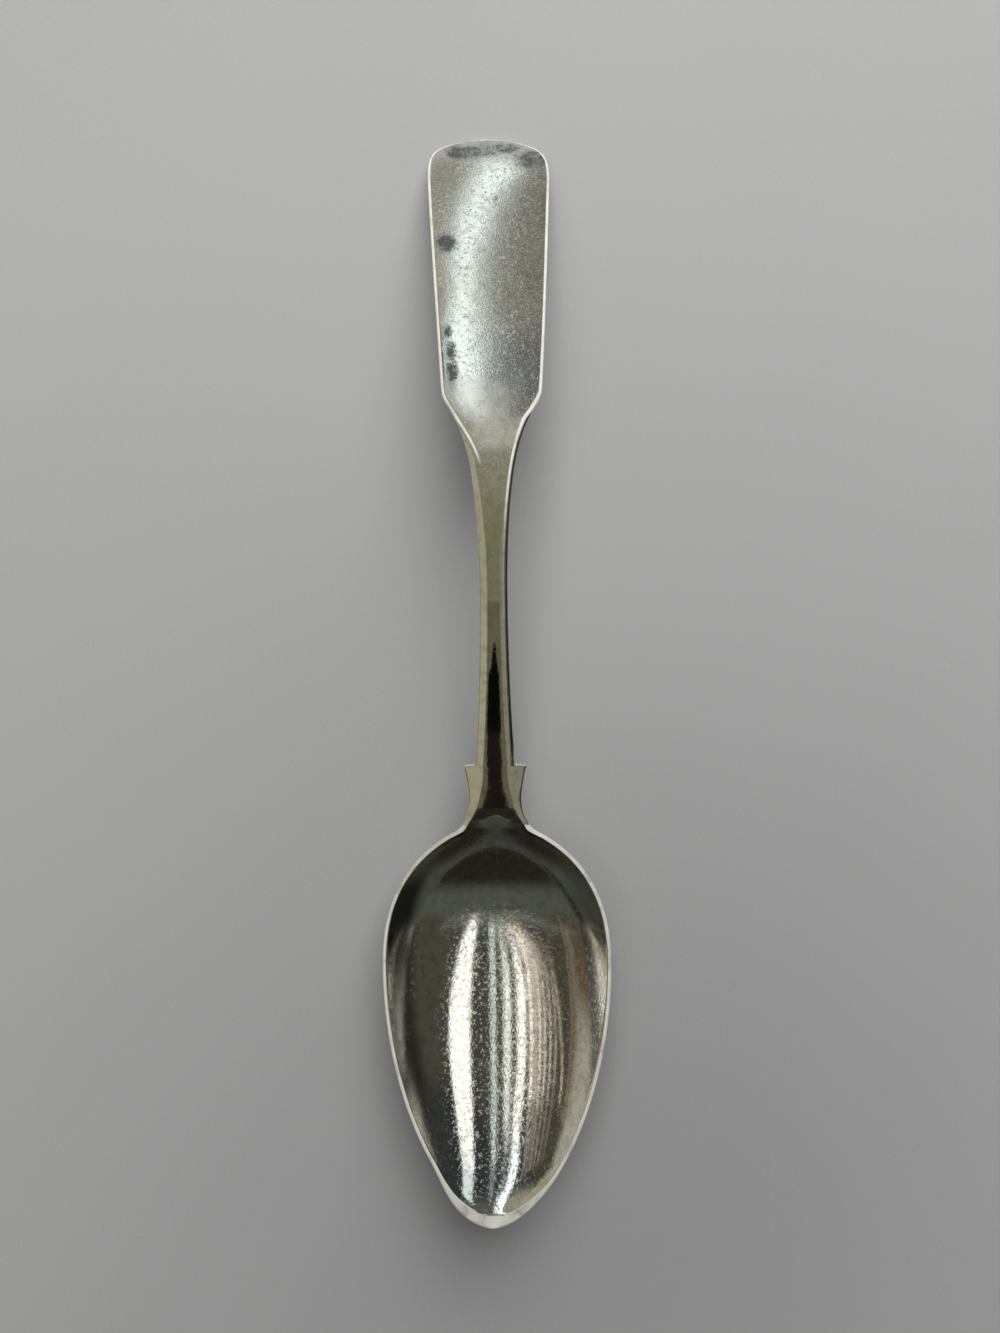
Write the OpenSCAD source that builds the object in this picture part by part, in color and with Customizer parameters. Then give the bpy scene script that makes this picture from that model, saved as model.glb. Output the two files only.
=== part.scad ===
// Teaspoon of the fiddle pattern in solid silver. The bowl is one dished sheet with a thickened rim. The
// handle is one forging: an arched, bevelled stem with two square-topped fins at the neck and a fiddle
// end that turns down. It butts against the neck of the bowl, and its drop laps under the bowl's back,
// with a film of hard solder in the joint. The spoon lies along Y, tip of the bowl at -Y, face up, on
// the back of its bowl and the end of its handle. Stations along it are measured from the bowl's tip.

/* [Side profile] */
// Length from the tip of the bowl to the end of the handle
spoon_l = 146; // [138:1:160]
// Rise of the rim at the bowl's tip, over the rim at the deepest place
tip_rise = 4.2; // [2:0.1:6]
// Rise of the face at the waist of the neck, over the rim at the deepest place
neck_rise = 0.5; // [0:0.1:2]
// Rise of the face at the crown of the arch, over the rim at the deepest place
arch_rise = 8.1; // [5:0.1:11]
// Distance of the arch's crown from the end of the handle
arch_back = 45; // [40:1:50]
// Slope of the turned-down end, in degrees
end_angle = 34; // [24:1:40]

/* [Bowl] */
// Length of the bowl, from its tip to the joint with the neck
bowl_l = 51.2; // [48:0.1:54]
// Width of the bowl
bowl_w = 30.3; // [26:0.1:34]
// Distance of the widest place from the joint
widest_back = 18.2; // [15:0.1:22]
// Distance of the deepest place from the joint
deepest_back = 13.2; // [10:0.1:16]
// Depth of the bowl under its rim
bowl_depth = 7.6; // [6:0.1:9]
// Thickness of the bowl's sheet at the bottom
bowl_sheet = 0.58; // [0.5:0.02:0.9]
// Thickness of the rim
rim_t = 0.58; // [0.5:0.02:0.8]
// Width of the flat land on top of the rim
rim_land = 0.5; // [0.3:0.05:0.8]
// Width of the worn land at the tip
tip_land = 1.7; // [1:0.1:2.5]

/* [Neck and fins] */
// Width of the neck at the joint with the bowl
joint_w = 9; // [8:0.1:10]
// Width of the neck at its waist
neck_w = 7; // [6:0.1:8]
// Distance of the waist from the joint
waist_run = 3.4; // [2.5:0.1:5]
// Width across the points of the fins
fin_w = 8.4; // [7.4:0.1:10]
// Distance of the fins' square tops from the waist
fin_run = 4.3; // [3:0.1:6]
// Fall of the fins' faces, from the facet out to the points
fin_fall = 0.7; // [0.4:0.05:0.9]
// Thickness of the neck at the fins
neck_t = 2.4; // [2.2:0.1:3]

/* [Stem] */
// Width of the stem just above the fins
stem_root_w = 5.3; // [4.4:0.1:6]
// Width of the stem at its narrowest
stem_w = 3.6; // [3:0.1:4.4]
// Thickness of the stem at its narrowest
stem_t = 2; // [1.7:0.1:2.4]
// Distance of the narrowest place from the fins' tops
stem_run = 23.6; // [18:0.1:28]
// Width of the bevel along each side of the stem
bevel_w = 0.93; // [0.6:0.01:1.2]
// Fall of that bevel
bevel_fall = 0.4; // [0.2:0.05:0.6]

/* [Fiddle end] */
// Distance of the shoulders from the end of the handle
shoulder_back = 40.2; // [36:0.1:43]
// Width across the shoulders
shoulder_w = 12.5; // [10:0.1:14]
// Width of the fiddle end at its widest
end_w = 16.5; // [14.5:0.1:19]
// Length of the domed end
dome_l = 7.5; // [5:0.1:9]
// Thickness of the fiddle end
plate_t = 1; // [0.9:0.05:1.4]
// Width of the burnished edge round the fiddle end
edge_w = 0.45; // [0.3:0.05:0.7]
// Rise of the crowned face over its edges
face_crown = 0.16; // [0.05:0.01:0.3]

/* [Drop and joint] */
// Length of the drop that laps under the bowl
drop_l = 6; // [4.5:0.1:6.5]
// Thickness of the drop at the joint
drop_t = 0.8; // [0.6:0.05:1.1]
// Thickness of the drop at its edge
drop_edge = 0.3; // [0.2:0.02:0.4]
// Gap that the solder fills
seam_gap = 0.16; // [0.12:0.01:0.25]

/* [Hidden] */
// Clearance between the solder and the curved faces that it wets
seam_fit = 0.03;
// Fall of the land, outwards, round the rim and at the worn tip
land_fall = 0.08;
tip_fall = 0.3;
// Fall of the burnished edge round the fiddle end
edge_fall = 0.12;
// Height of the side walls of the stem and of the fiddle end
stem_wall = 0.55;
plate_wall = 0.74;
// Rise of the stem's facet over its edges
facet_crown = 0.04;
// Flat that ends the outline at the bowl's tip, and the one at the handle's end
tip_flat = 0.5;
end_flat = 1.6;
// Stretch over which the tip's worn land narrows to the land of the rim
tip_fade = 7;
// How far the rounding of the shoulders runs past them
corner_run = 2;
// How far the hollow of the bowl runs out past the joint
hollow_run = 2.2;
// Depth worn flat on the back of the bowl and under the handle's end, where the spoon stands
foot_wear = 0.1;
// Points closer than this are one point, and slopes of the outline are taken over it
weld_gap = 0.001;

// Heights and stations that follow from the sizes above
rim_z = bowl_depth + bowl_sheet - foot_wear;
end_z = plate_t * cos(end_angle) - foot_wear;
end_at = spoon_l - face_crown * sin(end_angle);
widest_at = bowl_l - widest_back;
deepest_at = bowl_l - deepest_back;
waist_at = bowl_l + waist_run;
fins_at = waist_at + fin_run;
narrow_at = fins_at + stem_run;
shoulder_at = spoon_l - shoulder_back;
arch_at = spoon_l - arch_back;
dome_at = end_at - dome_l;

// Slopes of the side profile at the tip and at the waist
tip_slope = -0.18;
waist_slope = 0.16;
// Knots of the side profile: station, height and slope of the face
profile = [
    [0, rim_z + tip_rise, tip_slope],
    [deepest_at, rim_z, 0],
    [waist_at, rim_z + neck_rise, waist_slope],
    [arch_at, rim_z + arch_rise, 0],
    [end_at, end_z, -tan(end_angle)]
];

// Powers that shape the outlines: the tip, the heel, the cove under the shoulders and the dome
tip_power = 0.63;
heel_power = 2.2;
cove_powers = [2, 6];
cove_shares = [0.49, 0.51];
dome_power = 3;
// Sharpness of the blends where the neck meets the bowl and the cove meets the shoulders
neck_blend = 8;
shoulder_blend = 24;
// Powers of the bowl's depth towards the tip and the heel, and how flat its cross-section is in the middle
tip_depth_power = 0.85;
heel_depth_power = 1.25;
flat_share = 0.43;

// Points across each face, and rings along each stretch
bowl_points = 24;
handle_points = 15;
tip_rings = 22;
heel_rings = 16;
drop_rings = 10;
neck_rings = 16;
stem_rings = 12;
cove_rings = 26;
side_rings = 10;
dome_rings = 12;

// Smooth step from 0 at one station to 1 at another
function ramp(s, from, to) =
    let (x = min(max((s - from) / (to - from), 0), 1))
    x * x * (3 - 2 * x);

function mix(a, b, share) = a + (b - a) * share;

// Cubic through two knots of the side profile, and its slope
function cubic(s, a, b) =
    let (h = b[0] - a[0], x = (s - a[0]) / h, r = x * x * (3 - 2 * x))
    mix(a[1], b[1], r) + h * x * (1 - x) * ((1 - x) * a[2] - x * b[2]);

function cubic_slope(s, a, b) =
    let (h = b[0] - a[0], x = (s - a[0]) / h)
    6 * x * (1 - x) * (b[1] - a[1]) / h + (1 - x) * (1 - 3 * x) * a[2] + x * (3 * x - 2) * b[2];

function knot(s, i = 0) = i < len(profile) - 2 && s > profile[i + 1][0] ? knot(s, i + 1) : i;

// Height and slope of the face along the middle of the spoon
function face_z(s) = let (i = knot(s)) cubic(s, profile[i], profile[i + 1]);
function face_slope(s) = let (i = knot(s)) cubic_slope(s, profile[i], profile[i + 1]);

// Half width of the bowl alone: an egg with a pointed tip
function egg(s) =
    let (
        front = 1 - min(max(s, 0) / widest_at, 1),
        back = min(max((s - widest_at) / widest_back, 0), 1)
    )
    bowl_w / 2 * pow(1 - front * front, tip_power) * sqrt(1 - pow(back, heel_power));

// Half width of the neck below the waist, a cove that the bowl's outline runs into
function neck_cove(s) =
    let (x = (waist_at - max(s, bowl_l - waist_run / 2)) / waist_run)
    neck_w / 2 + (joint_w - neck_w) / 2 * x * x;

// Half width from the waist to the points of the fins
function fins(s) = mix(neck_w / 2, fin_w / 2, pow(max(s - waist_at, 0) / fin_run, 1.5));

// Half width of the stem alone, down to the fins and up into the cove under the shoulders
function stem(s) =
    let (
        down = (narrow_at - s) / stem_run,
        up = max(s - narrow_at, 0) / (shoulder_at - narrow_at)
    )
    s < narrow_at
        ? mix(stem_w, stem_root_w, down * down) / 2
        : stem_w / 2 + (shoulder_w - stem_w) / 2
            * (cove_shares[0] * pow(up, cove_powers[0]) + cove_shares[1] * pow(up, cove_powers[1]));

// Half width of the fiddle end, from the shoulders to the dome
function fiddle(s) =
    let (
        side = max(s - shoulder_at, 0) / (dome_at - shoulder_at),
        dome = min(max(s - dome_at, 0) / dome_l, 1)
    )
    max(mix(shoulder_w, end_w, min(side, 1)) / 2 * sqrt(1 - pow(dome, dome_power)), end_flat / 2);

// The station of the fins' tops has two outlines: the fins' own, and past them the stem's
function on_neck(s, past_fins) = s < fins_at + (past_fins ? -weld_gap : weld_gap);

// Half width of the bowl, with the neck's cove blended in
function bowl_half_w(s) =
    let (cove = pow(neck_cove(s), neck_blend) * ramp(s, widest_at, bowl_l - waist_run))
    max(pow(pow(egg(s), neck_blend) + cove, 1 / neck_blend), tip_flat / 2);

// Half width of the stem, rounded into the shoulders of the fiddle end
function handle_half_w(s) =
    s < narrow_at
        ? stem(s)
        : pow(pow(stem(s), -shoulder_blend) + pow(fiddle(s), -shoulder_blend), -1 / shoulder_blend);

// Half width of the whole spoon
function half_w(s, past_fins = false) =
    s < waist_at ? bowl_half_w(s) : on_neck(s, past_fins) ? fins(s) : handle_half_w(s);

// Width of the land round the bowl, measured across the spoon where the outline runs aslant
function land_across(s) =
    let (lean = (half_w(s + weld_gap) - half_w(s - weld_gap)) / (2 * weld_gap))
    rim_land * sqrt(1 + lean * lean);

// Least share of the half width that the hollow keeps at the tip, where the lands would meet
tip_facet_share = 0.3;

// Half width between the inner edges of the lands and bevels
function bowl_facet(s) =
    let (worn = (tip_land - rim_land) * (1 - ramp(s, 0, tip_fade)))
    max(half_w(s - worn) - land_across(max(s, weld_gap)), tip_facet_share * half_w(s));

function handle_facet(s) = half_w(s, true) - mix(bevel_w, edge_w, ramp(s, narrow_at, shoulder_at));

function facet(s) =
    on_neck(s, true)
        ? mix(bowl_facet(min(s, waist_at - weld_gap)), handle_facet(fins_at),
              ramp(s, bowl_l - waist_run / 2, fins_at))
        : handle_facet(s);

// Depth of the bowl's hollow, which runs out in the neck
function hollow(s) =
    let (
        front = 1 - min(max(s - tip_land, 0) / (deepest_at - tip_land), 1),
        back = min(max(s - deepest_at, 0) / (deepest_back + hollow_run), 1)
    )
    bowl_depth * pow(1 - front * front, tip_depth_power) * pow(1 - back * back, heel_depth_power);

// Rise of the middle of the face over its edges, once the hollow has run out
function crown(s) = mix(facet_crown * ramp(s, bowl_l, fins_at), face_crown, ramp(s, narrow_at, shoulder_at));

// Fall of the land or bevel, from its inner edge to the outline
function fall(s, past_fins = false) =
    on_neck(s, past_fins)
        ? mix(mix(tip_fall, land_fall, ramp(s, 0, tip_fade)), fin_fall, ramp(s, bowl_l - waist_run, fins_at))
        : mix(bevel_fall, edge_fall, ramp(s, narrow_at, shoulder_at));

// How full a cross-section is at a share of its half width: 1 in the middle and 0 at the edge
function fullness(u, power, flatness) = pow(max(1 - u * u, 0), power) * (1 + flatness * u * u);

// Wall and belly of the bowl under the outer edge of its land
function bowl_wall(s) = rim_t - fall(s);
function bowl_belly(s) = max(hollow(s) + bowl_sheet - rim_t, weld_gap);

// How far the bowl's back lies under the face line, at a distance from the middle
function bowl_back(s, x) =
    rim_t + bowl_belly(s) * fullness(min(abs(x) / half_w(s), 1), 1, flat_share);

// Wall of the handle under the outline, from the joint to the fiddle end
joint_wall = bowl_wall(bowl_l) + seam_gap + drop_edge;
wall_share = (joint_wall - drop_edge) / joint_wall;
function handle_wall(s) =
    mix(mix(joint_wall, stem_wall, ramp(s, bowl_l, fins_at)), plate_wall, ramp(s, narrow_at, shoulder_at));

// Thickness of the handle along its middle
joint_t = hollow(bowl_l) + bowl_sheet + seam_gap + drop_t;
function handle_t(s) =
    mix(mix(mix(joint_t, neck_t, ramp(s, bowl_l, fins_at)), stem_t, ramp(s, fins_at, narrow_at)),
        plate_t, ramp(s, narrow_at, shoulder_at));

// Underside of the handle: the bowl's section at the joint, half round on the stem, flatter on the fiddle
flattening_share = 0.5;
function round_share(s) = ramp(s, bowl_l, fins_at) - flattening_share * ramp(s, narrow_at, shoulder_at);
function handle_back(s, u, past_fins) =
    let (edge = fall(s, past_fins) + handle_wall(s), round = round_share(s))
    edge + max(handle_t(s) - edge, weld_gap)
        * fullness(u, mix(1, 0.5, round), flat_share * (1 - ramp(s, bowl_l, fins_at)));

// Shares of the half width at which a face has its points, closer together towards the edges
function across(n) = [for (i = [0:n - 1]) sin(-90 + 180 * i / (n - 1))];

// A ring is a closed loop of [x, depth under the face line]: left wall, face, right wall, back
function ring(left, face, right, back) =
    concat([left], face, [right], [for (i = [len(back) - 1:-1:0]) back[i]]);

// Points of the face: the land's edge, the facet or hollow between the lands, the other land's edge
function face_points(s, n, past_fins = false) =
    let (w = half_w(s, past_fins), c = facet(s), f = fall(s, past_fins), d = hollow(s) - crown(s))
    concat([[-w, f]], [for (u = across(n - 2)) [u * c, d * fullness(u, 1, flat_share)]], [[w, f]]);

function bowl_ring(s) =
    let (w = half_w(s), side = fall(s) + bowl_wall(s) / 2)
    ring([-w, side], face_points(s, bowl_points), [w, side],
         [for (u = across(bowl_points)) [u * w, bowl_back(s, u * w)]]);

function handle_ring(s, past_fins = false) =
    let (w = half_w(s, past_fins), side = fall(s, past_fins) + wall_share * handle_wall(s))
    ring([-w, side], face_points(s, handle_points, past_fins), [w, side],
         [for (u = across(handle_points)) [u * w, handle_back(s, u, past_fins)]]);

// Outline of the drop: as wide as the neck at the joint, round at its end
function drop_half_w(s) =
    let (x = (bowl_l - min(s, bowl_l)) / drop_l)
    max(half_w(bowl_l) * sqrt(1 - pow(min(x, 1), heel_power)), tip_flat / 2);

// Thickness of the drop, thinner towards its edge and its end
function drop_thick(s, u) =
    drop_edge + (drop_t - drop_edge) * fullness(u, 1, flat_share) * (1 - (bowl_l - s) / drop_l);

// A strip of given top and bottom clearances under the bowl's back, on the drop's outline
function lap_ring(s, top, bottom) =
    let (w = drop_half_w(s), side = bowl_back(s, w) + (top + bottom(1)) / 2)
    ring([-w, side],
         [for (u = across(handle_points)) [u * w, bowl_back(s, u * w) + top]],
         [w, side],
         [for (u = across(handle_points)) [u * w, bowl_back(s, u * w) + bottom(u)]]);

function drop_ring(s) = lap_ring(s, seam_gap, function(u) seam_gap + drop_thick(s, u));
function film_ring(s) = lap_ring(s, seam_fit, function(u) seam_gap - seam_fit);

// The film's plate between the ends of bowl and neck
function plate_ring(s) =
    let (w = half_w(s), wall = bowl_back(s, w) + seam_fit)
    ring([-w, wall], face_points(s, handle_points), [w, wall],
         [for (u = across(handle_points)) [u * w, bowl_back(s, u * w) + seam_gap - seam_fit]]);

// The first ring of a lap, in the plane of the joint: its edge is where the plate's wall ends
function step_ring(full, lap) =
    let (n = len(full))
    [for (i = [0:n - 1]) i == 1 ? full[0] : i == n / 2 - 1 ? full[n / 2] : i > 0 && i < n / 2 ? lap[i] : full[i]];

// Puts a ring's points at its station, square to the face line on the handle and upright on the bowl. What
// would reach under the table is worn off flat.
function placed(loop, s, at) =
    let (lean = atan(face_slope(s)) * ramp(s, waist_at, fins_at))
    [for (p = loop) [p[0], at - spoon_l / 2 + p[1] * sin(lean), max(face_z(s) - p[1] * cos(lean), 0)]];

function placed_at(loop, s) = placed(loop, s, s);

// Number that stands for a point of a loft: its own, or that of the point of the ring before at its place
function joined(rings, i, j) =
    let (
        n = len(rings[i]),
        twins = i == 0 ? [] : [for (k = [0:n - 1]) if (norm(rings[i][j] - rings[i - 1][k]) < weld_gap) k]
    )
    len(twins) > 0 ? joined(rings, i - 1, twins[0]) : i * n + j;

function proper(triangles) = [for (t = triangles) if (t[0] != t[1] && t[1] != t[2] && t[2] != t[0]) t];

// Triangles that close a ring of n points: strips from face to back, with a fan at each wall
function cap(n) =
    let (r = n / 2)
    concat(
        [[0, 1, 2], [0, 2, n - 2], [0, n - 2, n - 1]],
        [for (j = [2:r - 3]) each [[j, j + 1, n - j - 1], [j, n - j - 1, n - j]]],
        [[r, r + 1, r + 2], [r, r + 2, r - 2], [r, r - 2, r - 1]]
    );

// Solid through rings of equally many points
module loft(rings) {
    n = len(rings[0]);
    last = len(rings) - 1;
    ids = [for (i = [0:last]) [for (j = [0:n - 1]) joined(rings, i, j)]];
    skin = [
        for (i = [0:last - 1], j = [0:n - 1])
            let (a = ids[i][j], b = ids[i][(j + 1) % n], c = ids[i + 1][(j + 1) % n], d = ids[i + 1][j])
            each [[a, c, b], [a, d, c]]
    ];
    caps = [
        for (t = cap(n))
            each [[ids[0][t[0]], ids[0][t[1]], ids[0][t[2]]], [ids[last][t[0]], ids[last][t[2]], ids[last][t[1]]]]
    ];
    polyhedron(points = [for (r = rings) each r], faces = proper(concat(skin, caps)));
}

// Stations of the rings, closer together where the outline turns
corner_at = shoulder_at + corner_run;
bowl_stations = concat(
    [for (i = [0:tip_rings - 1]) widest_at * (1 - cos(90 * i / tip_rings))],
    [for (i = [0:heel_rings]) widest_at + widest_back * sin(90 * i / heel_rings)]
);
drop_stations = [for (i = [0:drop_rings]) bowl_l - drop_l * sin(90 * i / drop_rings)];
neck_stations = [for (i = [0:neck_rings]) mix(bowl_l, fins_at, i / neck_rings)];
stem_stations = concat(
    [for (i = [0:stem_rings - 1]) mix(fins_at, narrow_at, i / stem_rings)],
    [for (i = [0:cove_rings - 1]) mix(narrow_at, corner_at, sin(90 * i / cove_rings))],
    [for (i = [0:side_rings - 1]) mix(corner_at, dome_at, i / side_rings)],
    [for (i = [0:dome_rings]) dome_at + dome_l * sin(90 * i / dome_rings)]
);

module bowl() {
    color("silver") loft([for (s = bowl_stations) placed_at(bowl_ring(s), s)]);
}

module handle() {
    butt = placed(handle_ring(bowl_l), bowl_l, bowl_l + seam_gap);
    step = step_ring(handle_ring(bowl_l), drop_ring(bowl_l));
    color("silver") loft(concat(
        [for (i = [drop_rings:-1:0]) placed_at(drop_ring(drop_stations[i]), drop_stations[i])],
        [placed(step, bowl_l, bowl_l + seam_gap), butt],
        [for (i = [1:neck_rings]) placed_at(handle_ring(neck_stations[i]), neck_stations[i])],
        [for (s = stem_stations) placed_at(handle_ring(s, true), s)]
    ));
}

module solder_seam() {
    plate = plate_ring(bowl_l);
    color("gainsboro") loft(concat(
        [for (i = [drop_rings:-1:1]) placed_at(film_ring(drop_stations[i]), drop_stations[i])],
        [placed_at(step_ring(plate, film_ring(bowl_l)), bowl_l), placed_at(plate, bowl_l)],
        [placed(plate, bowl_l, bowl_l + seam_gap)]
    ));
}

bowl();
handle();
solder_seam();
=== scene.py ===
"""Looks of the teaspoon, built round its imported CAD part. Shapes are worked out in millimetres: s is the
station along the spoon from the bowl's tip, x is across it, and depth is under the line of the face."""

import math

import bpy
import numpy as np
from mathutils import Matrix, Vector


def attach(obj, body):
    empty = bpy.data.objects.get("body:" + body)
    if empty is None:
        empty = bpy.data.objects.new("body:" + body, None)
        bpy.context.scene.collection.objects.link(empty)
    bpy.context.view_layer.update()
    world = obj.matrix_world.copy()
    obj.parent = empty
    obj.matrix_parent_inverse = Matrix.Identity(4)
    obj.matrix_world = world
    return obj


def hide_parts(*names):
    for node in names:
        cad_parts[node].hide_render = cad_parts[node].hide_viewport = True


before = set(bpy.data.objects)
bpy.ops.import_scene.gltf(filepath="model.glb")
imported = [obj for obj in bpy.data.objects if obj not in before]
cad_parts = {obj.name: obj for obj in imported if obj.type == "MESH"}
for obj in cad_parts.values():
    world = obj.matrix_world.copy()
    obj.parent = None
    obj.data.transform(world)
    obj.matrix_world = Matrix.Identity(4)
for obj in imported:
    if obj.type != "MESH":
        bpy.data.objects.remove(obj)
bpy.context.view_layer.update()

MM = 0.001

# Sizes of the CAD part, in millimetres: first the line of its face
spoon_l = 146.0
tip_rise, neck_rise, arch_rise = 4.2, 0.5, 8.1
arch_back, end_angle = 45.0, math.radians(34)
tip_slope, neck_slope = -0.18, 0.16
# The bowl
bowl_l, bowl_w = 51.2, 30.3
widest_back, deepest_back = 18.2, 13.2
bowl_depth, bowl_sheet, rim_t = 7.6, 0.58, 0.58
rim_land, tip_land, land_fall, tip_fall = 0.5, 1.7, 0.08, 0.3
tip_flat, tip_fade, hollow_run = 0.5, 7.0, 2.2
# The neck with its fins, and the stem
joint_w, neck_w, waist_run = 9.0, 7.0, 3.4
fin_w, fin_run, fin_fall, neck_t = 8.4, 4.3, 0.7, 2.4
stem_root_w, stem_w, stem_t, stem_run = 5.3, 3.6, 2.0, 23.6
bevel_w, bevel_fall, facet_crown, stem_wall = 0.93, 0.4, 0.04, 0.55
# The fiddle end
shoulder_back, shoulder_w, end_w = 40.2, 12.5, 16.5
dome_l, end_flat, corner_run = 7.5, 1.6, 2.0
plate_t, plate_wall, edge_w, edge_fall, face_crown = 1.0, 0.74, 0.45, 0.12, 0.16
# The drop under the bowl, the solder, and the worn feet
drop_l, drop_t, drop_edge = 6.0, 0.8, 0.3
seam_gap, seam_fit = 0.16, 0.03
foot_wear = 0.1
# Powers and shares of the forms
tip_power, heel_power, tip_depth_power, heel_depth_power = 0.63, 2.2, 0.85, 1.25
fin_power, dome_power, stem_back_power = 1.5, 3, 0.5
soft_flare, sharp_flare = 0.49, 0.51
neck_blend, shoulder_blend = 8, 24
flat_share, tip_facet_share, flattening_share = 0.43, 0.3, 0.5
least = 0.001

rim_z = bowl_depth + bowl_sheet - foot_wear
end_z = plate_t * math.cos(end_angle) - foot_wear
end_at = spoon_l - face_crown * math.sin(end_angle)
widest_at, deepest_at = bowl_l - widest_back, bowl_l - deepest_back
waist_at = bowl_l + waist_run
fins_at = waist_at + fin_run
narrow_at = fins_at + stem_run
shoulder_at, arch_at, dome_at = spoon_l - shoulder_back, spoon_l - arch_back, end_at - dome_l
# Station, height and slope at the knots of the face line
knots = [(0.0, rim_z + tip_rise, tip_slope), (deepest_at, rim_z, 0.0),
         (waist_at, rim_z + neck_rise, neck_slope), (arch_at, rim_z + arch_rise, 0.0),
         (end_at, end_z, -math.tan(end_angle))]

# Camera, straight down from where the photograph was taken
photo_w, photo_h, focal_px = 1000, 1333, 1001.0
camera_at = (0.75, -0.8, 140.7)
camera_turn = math.radians(-0.5)

# What the visual mesh adds: soft edges, the fins' tops and small unevenness
rim_round, handle_round = 0.17, 0.2     # radius of the rounded edges of the bowl and of the handle
crease_soft = 0.05                      # how softly the facets meet
bevel_soft, bevel_rest = 0.12, 0.0036   # how softly a bevel starts, and what that leaves on the flat
least_bevel_w = 0.05
fin_step = 0.16                         # run of the fins' square tops
drop_round_share, drop_tip_edge = 0.8, 0.02
left_square, right_square = 4.6, 3.6    # how square the two corners of the handle's end are
dome_clip = 0.999                       # the share of the dome where that ends
tip_lean, tip_lean_run = -1.5, 8.0      # how much fuller the left lip of the worn tip is
end_lean = -0.26                        # and how far the handle's end leans to the left


def ramp(s, a, b):
    """Smooth step from 0 at a to 1 at b."""
    x = np.clip((s - a) / (b - a), 0, 1)
    return x * x * (3 - 2 * x)


def mix(a, b, share):
    return a + (b - a) * share


def face_line(s):
    """Height and slope of the face along the middle."""
    s = np.asarray(s, float)
    z, m = np.zeros_like(s), np.zeros_like(s)
    for i, ((sa, za, ma), (sb, zb, mb)) in enumerate(zip(knots, knots[1:])):
        here = (s > sa) if i else np.ones_like(s, bool)
        h = sb - sa
        x = (s - sa) / h
        zi = mix(za, zb, x * x * (3 - 2 * x)) + h * x * (1 - x) * ((1 - x) * ma - x * mb)
        mi = 6 * x * (1 - x) * (zb - za) / h + (1 - x) * (1 - 3 * x) * ma + x * (3 * x - 2) * mb
        z, m = np.where(here, zi, z), np.where(here, mi, m)
    return z, m


def egg(s):
    front = 1 - np.clip(s / widest_at, 0, 1)
    back = np.clip((s - widest_at) / widest_back, 0, 1)
    return bowl_w / 2 * (1 - front**2) ** tip_power * np.sqrt(1 - back**heel_power)


def neck_cove(s):
    x = (waist_at - np.maximum(s, bowl_l - waist_run / 2)) / waist_run
    return neck_w / 2 + (joint_w - neck_w) / 2 * x * x


def fins(s):
    return mix(neck_w / 2, fin_w / 2, (np.clip(s - waist_at, 0, fin_run) / fin_run) ** fin_power)


def stem(s):
    down = (narrow_at - s) / stem_run
    up = np.maximum(s - narrow_at, 0) / (shoulder_at - narrow_at)
    low = mix(stem_w, stem_root_w, down * down) / 2
    high = stem_w / 2 + (shoulder_w - stem_w) / 2 * (soft_flare * up**2 + sharp_flare * up**6)
    return np.where(s < narrow_at, low, high)


def fiddle(s):
    side = np.clip((s - shoulder_at) / (dome_at - shoulder_at), 0, 1)
    dome = np.clip((s - dome_at) / dome_l, 0, 1)
    return np.maximum(mix(shoulder_w, end_w, side) / 2 * np.sqrt(1 - dome**dome_power), end_flat / 2)


def past_fins(s):
    return ramp(s, fins_at - fin_step / 4, fins_at + fin_step)


def half_w(s):
    """Half the spoon's width."""
    s = np.asarray(s, float)
    cove = neck_cove(s) ** neck_blend * ramp(s, widest_at, bowl_l - waist_run)
    bowl = np.maximum((egg(s) ** neck_blend + cove) ** (1 / neck_blend), tip_flat / 2)
    handle = (stem(s) ** -shoulder_blend + fiddle(s) ** -shoulder_blend) ** (-1 / shoulder_blend)
    handle = np.where(s < narrow_at, stem(s), handle)
    return np.where(s < waist_at, bowl, mix(fins(s), handle, past_fins(s)))


def bowl_facet(s):
    lean = (half_w(np.maximum(s, least) + least) - half_w(np.maximum(s, least) - least)) / (2 * least)
    worn = (tip_land - rim_land) * (1 - ramp(s, 0, tip_fade))
    return np.maximum(half_w(s - worn) - rim_land * np.sqrt(1 + lean**2), tip_facet_share * half_w(s))


def handle_facet(s):
    s = np.maximum(s, fins_at + fin_step)
    return half_w(s) - mix(bevel_w, edge_w, ramp(s, narrow_at, shoulder_at))


def facet(s):
    """Half the width inside the bowl's land and the handle's bevels."""
    into = ramp(s, bowl_l - waist_run / 2, fins_at)
    return mix(bowl_facet(np.minimum(s, waist_at - least)), handle_facet(s), into)


def hollow(s):
    """Depth of the bowl along the middle."""
    front = 1 - np.clip((s - tip_land) / (deepest_at - tip_land), 0, 1)
    back = np.clip((s - deepest_at) / (deepest_back + hollow_run), 0, 1)
    return bowl_depth * (1 - front**2) ** tip_depth_power * (1 - back**2) ** heel_depth_power


def crown(s):
    return mix(facet_crown * ramp(s, bowl_l, fins_at), face_crown, ramp(s, narrow_at, shoulder_at))


def fall(s):
    """How far the land or the bevel falls to the outline."""
    neck = mix(mix(tip_fall, land_fall, ramp(s, 0, tip_fade)), fin_fall, ramp(s, bowl_l - waist_run, fins_at))
    return mix(neck, mix(bevel_fall, edge_fall, ramp(s, narrow_at, shoulder_at)), past_fins(s))


def fullness(u, power=1.0, flat=flat_share):
    """Height of a rounded section at a share of its half width."""
    return np.maximum(1 - u * u, 0) ** power * (1 + flat * u * u)


def soft_over(x, softness):
    """x where it is over 0, and 0 under it, turning softly between them."""
    return (x + np.sqrt(x * x + softness * softness)) / 2


def bowl_back(s, x):
    """Depth of the bowl's back."""
    belly = np.maximum(hollow(s) + bowl_sheet - rim_t, least)
    return rim_t + belly * fullness(np.minimum(np.abs(x) / half_w(s), 1))


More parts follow.
